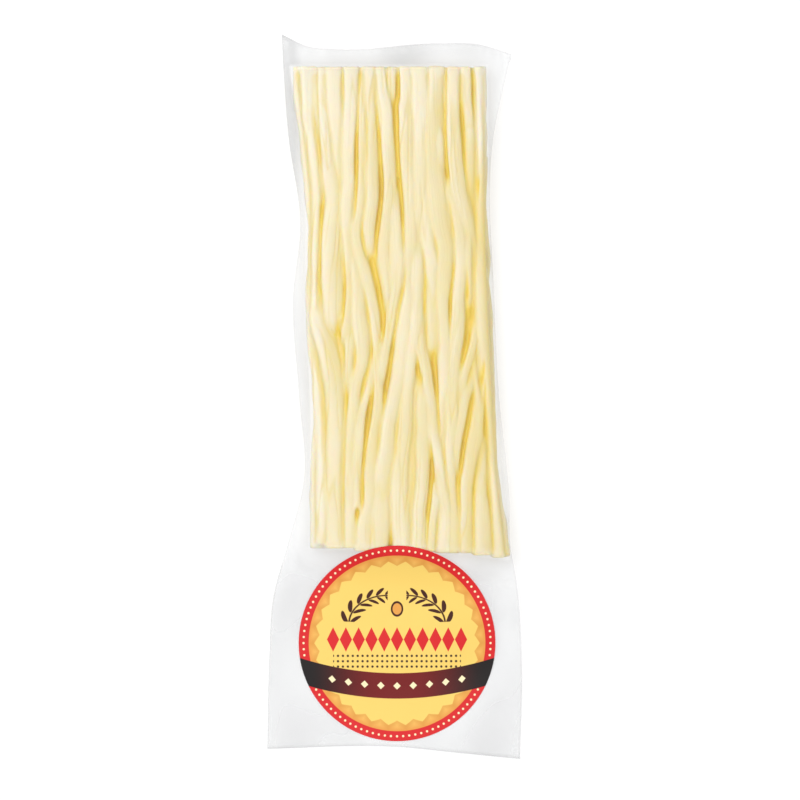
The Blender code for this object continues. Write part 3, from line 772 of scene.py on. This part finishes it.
def make_film(strings, material):
    """The pouch: an upper and a lower film drawn on the strings and welded all round."""
    chance = np.random.default_rng(5)
    rows, x, y = film_grid()
    middle = film_middle(chance, x, y)
    top, under, _ = string_surfaces(strings, rows, x)
    beside = ramp(np.abs(x - label_centre[0]) - label_radius, -2, 6)
    beyond = ramp(np.abs(y - label_centre[1]) - label_radius, 0, 4)
    pull = LABEL_PULL + (PULL - LABEL_PULL) * np.maximum(beside, beyond)
    dx = np.repeat((x[:, 1] - x[:, 0])[:, None], FILM_COLUMNS, axis=1)
    dy = np.full(x.shape, rows[1] - rows[0])
    floor = np.maximum(middle + FILM_HALF, top + FILM_LIFT)
    upper = drawn_tight(middle + FILM_HALF, floor, pull, DRAPE_STEPS, dx, dy)
    ceiling = np.minimum(middle - FILM_HALF, under - FILM_LIFT)
    lower = -drawn_tight(FILM_HALF - middle, -ceiling, np.full(x.shape, PULL), DRAPE_STEPS, dx, dy)
    lower = np.maximum(lower, 0.02)
    upper = np.maximum(upper, lower + 2 * FILM_HALF)
    points = np.concatenate([np.stack([x, y, z], axis=2).reshape(-1, 3) for z in (upper, lower)])
    item = make_mesh("film_pouch", points, sheet_faces(*x.shape), material)
    add_values(item, "clear_of", np.tile(off_bundle(x, y).ravel(), 2))
    # Dimmer in soft patches, and more towards the upper-left corner.
    corner = ramp(x, -36, -42) * ramp(y, 45, 85)
    dimness = 0.3 + 0.22 * ripples(chance, x, y, 15.0, 28.0) + 1.2 * corner
    dimness = np.clip(dimness, 0, 1.5) * smooth_step(off_bundle(x, y))
    add_values(item, "dimness", np.tile(dimness.ravel(), 2))
    rim = item.data.polygons[2 * (len(rows) - 1) * (FILM_COLUMNS - 1):]
    for face in rim:
        face.use_smooth = False
    return item, points[:x.size], sheet_quads(*x.shape)


def off_bundle(x, y):
    """How far each place lies outside the bundle's outline."""
    left, right = bundle_sides(y)
    aside = np.maximum(left - x, x - right)
    beyond = np.maximum(smooth_line(FOOT_LINE, x) - y, y - BUNDLE_TOP_Y)
    return np.clip(np.hypot(np.clip(aside, 0, None), np.clip(beyond, 0, None)), 0, OFF_REACH)


def sheet_quads(rows, columns):
    """Faces of a grid of points, looking up."""
    first = (np.arange(rows - 1)[:, None] * columns + np.arange(columns - 1)).ravel()
    return np.stack([first, first + 1, first + columns + 1, first + columns], axis=1).tolist()


def sheet_faces(rows, columns):
    """Faces of a closed envelope: an upper grid, a lower grid, and a rim round both."""
    upper = sheet_quads(rows, columns)
    size = rows * columns
    lower = [[size + d, size + c, size + b, size + a] for a, b, c, d in upper]
    grid = np.arange(size).reshape(rows, columns)
    rim = np.concatenate([grid[0], grid[1:, -1], grid[-1, -2::-1], grid[-2::-1, 0]]).tolist()
    sides = [[b, a, size + a, size + b] for a, b in zip(rim, rim[1:])]
    return upper + lower + sides


# ---- label

def make_label(film_points, film_quads, material):
    """The paper label: a thin disc that lies on the film."""
    skin = BVHTree.FromPolygons([tuple(p) for p in film_points], film_quads)
    sides, rings = LABEL_SIDES, LABEL_RINGS
    middle_x, middle_y = label_centre[:2]
    heights, places = [], [(middle_x, middle_y)]
    for ring in range(1, rings + 1):
        for k in range(sides):
            turn = math.tau * k / sides
            reach = label_radius * ring / rings
            places.append((middle_x + reach * math.cos(turn), middle_y + reach * math.sin(turn)))
    for px, py in places:
        near = ((0, 0), (LABEL_NEAR, 0), (-LABEL_NEAR, 0), (0, LABEL_NEAR), (0, -LABEL_NEAR))
        hits = [skin.ray_cast(Vector((px + u, py + v, 60.0)), Vector((0, 0, -1)))[0] for u, v in near]
        heights.append(max(hit.z for hit in hits if hit))
    over = np.array([(px, py, z + LABEL_LIFT + LABEL_PAPER) for (px, py), z in zip(places, heights)])
    under = over - (0, 0, LABEL_PAPER)
    size = len(over)
    faces = []
    for k in range(sides):
        after = (k + 1) % sides
        faces.append((0, 1 + k, 1 + after))
        faces.append((size, size + 1 + after, size + 1 + k))
        for ring in range(rings - 1):
            a, b = 1 + ring * sides + k, 1 + ring * sides + after
            faces.append((a, a + sides, b + sides, b))
            faces.append((size + a, size + b, size + b + sides, size + a + sides))
        a, b = size - sides + k, size - sides + after
        faces.append((a, size + a, size + b, b))
    item = make_mesh("label_sticker", np.concatenate([over, under]), faces, material)
    item.data.set_sharp_from_angle(angle=math.radians(50))
    return item


# ---- materials

def new_material(name):
    """A material with its node tree and its Principled shader."""
    material = bpy.data.materials.new(name)
    material.use_nodes = True
    tree = material.node_tree
    return material, tree, tree.nodes["Principled BSDF"]


def set_inputs(node, values):
    """Give a node's inputs their values, by name."""
    for name, value in values.items():
        node.inputs[name].default_value = value


class Field:
    """A number for each place on a surface, worked out by the nodes of its material."""

    def __init__(self, tree, socket):
        self.tree, self.socket = tree, socket

    def maths(self, operation, *others):
        node = self.tree.nodes.new("ShaderNodeMath")
        node.operation = operation
        for slot, value in zip(node.inputs, (self, *others)):
            if isinstance(value, Field):
                self.tree.links.new(value.socket, slot)
            else:
                slot.default_value = value
        return Field(self.tree, node.outputs[0])

    def __add__(self, other):
        return self.maths("ADD", other)

    def __sub__(self, other):
        return self.maths("SUBTRACT", other)

    def __mul__(self, other):
        return self.maths("MULTIPLY", other)

    def size(self):
        return self.maths("ABSOLUTE")

    def cycle(self, pitch):
        """Signed distance to the nearest multiple of the pitch."""
        return (self * (1 / pitch) + 0.5).maths("FRACT") * pitch - 0.5 * pitch

    def below(self, edge, soft=0.12):
        """1 where the number is under the edge, 0 where it is over, with a soft change."""
        node = self.tree.nodes.new("ShaderNodeMapRange")
        node.interpolation_type = "SMOOTHSTEP"
        self.tree.links.new(self.socket, node.inputs["Value"])
        set_inputs(node, {"From Min": edge - soft, "From Max": edge + soft, "To Min": 1.0, "To Max": 0.0})
        return Field(self.tree, node.outputs["Result"])

    def above(self, edge, soft=0.12):
        return self.below(edge, soft) * -1 + 1


class Print:
    """Inks laid one over another on the label's paper."""

    def __init__(self, tree, paper):
        self.tree, self.colour = tree, paper

    def ink(self, cover, colour):
        """Lay an ink, or a blend of inks, where the cover is 1."""
        self.colour = self.blend(cover, self.colour, colour)

    def blend(self, share, low, high):
        """A colour that goes from low to high as the share goes from 0 to 1."""
        node = self.tree.nodes.new("ShaderNodeMix")
        node.data_type = "RGBA"
        self.tree.links.new(share.socket, node.inputs["Factor"])
        for name, colour in (("A", low), ("B", high)):
            if isinstance(colour, tuple):
                node.inputs[name].default_value = colour
            else:
                self.tree.links.new(colour, node.inputs[name])
        return node.outputs["Result"]


def attribute(tree, name):
    """One of the numbers given to the mesh's points."""
    node = tree.nodes.new("ShaderNodeAttribute")
    node.attribute_name = name
    return Field(tree, node.outputs["Fac"])


def fill_ramp(node, stops):
    """Give a colour ramp its stops, each a place and a colour."""
    elements = node.color_ramp.elements
    while len(elements) < len(stops):
        elements.new(0.5)
    for element, (place, colour) in zip(elements, stops):
        element.position = place
        element.color = colour


def cheese_material():
    """Moist pale cheese: translucent, finely fibrous, with painted shade making it deeper yellow down in
    the creases.
    """
    material, tree, surface = new_material("string_cheese")
    link = tree.links.new
    # Painted shade: the colour follows the depth attribute, more golden and darker down in the creases.
    tint = tree.nodes.new("ShaderNodeValToRGB")
    fill_ramp(tint, CHEESE_TONES_AND_SHADE)
    depth = attribute(tree, "depth") * (1 / DEEPEST)
    link(depth.socket, tint.inputs["Fac"])
    link(tint.outputs["Color"], surface.inputs["Base Color"])
    set_inputs(surface, {"Roughness": 0.48, "Subsurface Weight": 1.0,
                         "Subsurface Radius": (1.0, 0.7, 0.35), "Subsurface Scale": 0.001})
    coords = tree.nodes.new("ShaderNodeTexCoord")
    parts = tree.nodes.new("ShaderNodeSeparateXYZ")
    place = tree.nodes.new("ShaderNodeCombineXYZ")
    stretch = tree.nodes.new("ShaderNodeMapping")
    stretch.inputs["Scale"].default_value = (1.5, 75, 150)
    link(coords.outputs["Object"], parts.inputs[0])
    link(attribute(tree, "across").socket, place.inputs["X"])
    link(parts.outputs["Y"], place.inputs["Y"])
    link(parts.outputs["Z"], place.inputs["Z"])
    link(place.outputs[0], stretch.inputs["Vector"])
    fibres = tree.nodes.new("ShaderNodeTexNoise")
    set_inputs(fibres, {"Scale": 1.0, "Detail": 3.0})
    bump = tree.nodes.new("ShaderNodeBump")
    set_inputs(bump, {"Strength": 0.24, "Distance": 0.0005})
    link(stretch.outputs["Vector"], fibres.inputs["Vector"])
    link(fibres.outputs["Fac"], bump.inputs["Height"])
    link(bump.outputs["Normal"], surface.inputs["Normal"])
    return material


def film_material():
    """Clear film: hazy where it is loose, clear where it clings, greyer farther from the bundle with
    painted light keeping it clearer near it, dimmer in patches, and glossier where it turns away.
    """
    material, tree, surface = new_material("clear_film")
    link = tree.links.new
    set_inputs(surface, {"Base Color": (0.93, 0.935, 0.94, 1), "Roughness": 0.16, "IOR": 1.5})
    clear = tree.nodes.new("ShaderNodeBsdfTransparent")
    away = attribute(tree, "clear_of")
    # Painted light: the film is kept clearer near the bundle, where the floor under it is shaded.
    tone = tree.nodes.new("ShaderNodeValToRGB")
    fill_ramp(tone, [(place / OFF_REACH, colour) for place, colour in FILM_TONES])
    link((away * (1 / OFF_REACH)).socket, tone.inputs["Fac"])
    dim = tree.nodes.new("ShaderNodeVectorMath")
    dim.operation = "SCALE"
    link(tone.outputs["Color"], dim.inputs[0])
    link((attribute(tree, "dimness") * -DIMNESS_DEPTH + 1).socket, dim.inputs["Scale"])
    link(dim.outputs["Vector"], clear.inputs["Color"])
    edge = tree.nodes.new("ShaderNodeLayerWeight")
    edge.inputs["Blend"].default_value = 0.5
    facing = Field(tree, edge.outputs["Facing"])
    haze = away.above(LOOSE_FROM, 0.8) * FILM_HAZE + away.above(LOOSE_WELL, 4.0) * LOOSE_HAZE
    amount = facing.maths("POWER", 3.0) * EDGE_GLOSS + haze + FILM_GLOSS
    mix = tree.nodes.new("ShaderNodeMixShader")
    for slot, socket in enumerate((amount.socket, clear.outputs[0], surface.outputs[0])):
        link(socket, mix.inputs[slot])
    link(mix.outputs[0], tree.nodes["Material Output"].inputs["Surface"])
    return material


def label_material():
    """Printed paper: a red ring round a yellow field, a ribbon, a row of lozenges, and two sprigs."""
    material, tree, surface = new_material("printed_paper")
    coords = tree.nodes.new("ShaderNodeTexCoord")
    parts = tree.nodes.new("ShaderNodeSeparateXYZ")
    tree.links.new(coords.outputs["Object"], parts.inputs[0])
    x = Field(tree, parts.outputs["X"]) * (1 / MM) - label_centre[0]
    y = Field(tree, parts.outputs["Y"]) * (1 / MM) - label_centre[1]
    aside = x.size()
    reach = (x * x + y * y).maths("SQRT")
    turn = y.maths("ARCTAN2", x)

    design = Print(tree, RED)
    # Fields of colour.
    annulus = design.blend(reach.above(33.8, 2.2), YELLOW, ORANGE)
    design.ink(reach.below(RING_INNER), annulus)
    rays = turn.cycle(math.tau / RAYS).size() * (RAY_DEPTH / (math.pi / RAYS))
    edge = reach + rays
    design.ink(edge.below(FIELD_RADIUS + 1.6, 1.4) * 0.55, SHADE)
    design.ink(edge.below(FIELD_RADIUS), FIELD)
    # Dots round the ring.
    dot = turn.cycle(math.tau / RING_DOTS) * RING_MIDDLE
    dot = (dot * dot + (reach - RING_MIDDLE) * (reach - RING_MIDDLE)).maths("SQRT")
    design.ink(dot.below(0.45), PALE)
    # Ribbon across the lower part.
    off_ribbon = (y - RIBBON_Y + x * x * RIBBON_BEND).size()
    dark = design.blend(aside.above(21, 15), DARK_RED, BLACK)
    design.ink(off_ribbon.below(RIBBON_HALF) * reach.below(RING_OUTER), dark)
    bead = x.cycle(BEAD_PITCH).size() + off_ribbon
    design.ink(bead.below(1.5) * aside.below(30), PALE)
    # Row of lozenges.
    lozenge = x.cycle(LOZENGE_PITCH).size() * 2.0 + (y - LOZENGE_Y).size()
    design.ink(lozenge.below(5.0, 0.2) * aside.below(28.5), RED)
    # Rows of dots under it.
    columns, rows = x.cycle(DOT_PITCH), (y - DOTS_Y).cycle(ROW_PITCH)
    spot = (columns * columns + rows * rows).maths("SQRT")
    design.ink(spot.below(0.5) * (y - DOTS_Y).size().below(2.9) * aside.below(26), GREY)
    # Two sprigs over it.
    away_x, away_y = aside - SPRIG_X, y - SPRIG_Y
    arc = (away_x * away_x * 0.55 + away_y * away_y).maths("SQRT") - SPRIG_RADIUS
    along = away_y.maths("ARCTAN2", away_x) * 11.0
    leaf = (along - arc.size() * 0.9).cycle(LEAF_PITCH)
    blade = leaf * leaf * 0.9 + (arc.size() - 1.7) * (arc.size() - 1.7) * 0.35
    sprig = blade.below(0.72).maths("MAXIMUM", arc.size().below(0.28))
    design.ink(sprig * along.above(0.5) * along.below(17.5), BROWN)
    bud = (x * x * 1.6 + (y - BUD_Y) * (y - BUD_Y)).maths("SQRT")
    design.ink(bud.below(3.2), BROWN)
    design.ink(bud.below(2.3), ORANGE)

    tree.links.new(design.colour, surface.inputs["Base Color"])
    set_inputs(surface, {"Roughness": 0.5, "Specular IOR Level": 0.2})
    return material


# ---- setting

CAMERA_PLACE = (2.2, -1.2, 1809)
# The soft lights: name, place and size in metres, and watts. The key is at the upper left.
LIGHTS = (("key", (-0.5, 0.25, 1.05), 0.7, 8.8), ("fill", (0.2, -0.3, 1.3), 0.8, 4.8),
          ("side", (1.3, -0.2, 0.45), 0.6, 2.8))


def make_floor():
    """A pale, even floor under the pack."""
    bpy.ops.mesh.primitive_plane_add(size=6.0, location=(0, 0, -0.0005))
    floor = bpy.context.object
    floor.name = "floor"
    material, _, surface = new_material("pale_floor")
    set_inputs(surface, {"Base Color": (0.35, 0.35, 0.35, 1), "Emission Color": (1, 1, 1, 1),
                         "Emission Strength": 0.65, "Roughness": 0.9, "Specular IOR Level": 0.1})
    floor.data.materials.append(material)


def add_light(name, place, size, watts):
    """A square soft light that faces the pack."""
    lamp = bpy.data.lights.new(name, "AREA")
    lamp.size = size
    lamp.energy = watts
    item = bpy.data.objects.new(name, lamp)
    item.location = place
    item.rotation_euler = (-Vector(place)).to_track_quat("-Z", "Y").to_euler()
    bpy.context.scene.collection.objects.link(item)


def make_setting():
    """Camera straight above the pack, soft lights, and an even sky."""
    scene = bpy.context.scene
    scene.view_settings.view_transform = "Standard"
    lens = bpy.data.cameras.new("camera")
    lens.lens = 200
    lens.sensor_width = 36
    camera = bpy.data.objects.new("camera", lens)
    camera.location = [value * MM for value in CAMERA_PLACE]
    scene.collection.objects.link(camera)
    scene.camera = camera
    world = bpy.data.worlds.new("sky")
    world.use_nodes = True
    set_inputs(world.node_tree.nodes["Background"], {"Color": (1, 1, 1, 1), "Strength": 0.45})
    scene.world = world
    for light in LIGHTS:
        add_light(*light)


def main():
    cheese = cheese_material()
    chance = np.random.default_rng(11)
    pressed, creases = pressed_courses()
    top = [course_string(chance, *line) for line in pressed]
    strings = top + layer_strings(chance, *MIDDLE_LAYER) + layer_strings(chance, *BOTTOM_LAYER)
    bundle = fused_bundle(strings, creases, cheese)
    film, film_points, film_quads = make_film(strings, film_material())
    sticker = make_label(film_points, film_quads, label_material())
    for piece in (bundle, film):
        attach(piece, "root")
        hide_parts("vacuum_pouch")
    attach(sticker, "root")
    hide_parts("label")
    make_floor()
    make_setting()


main()
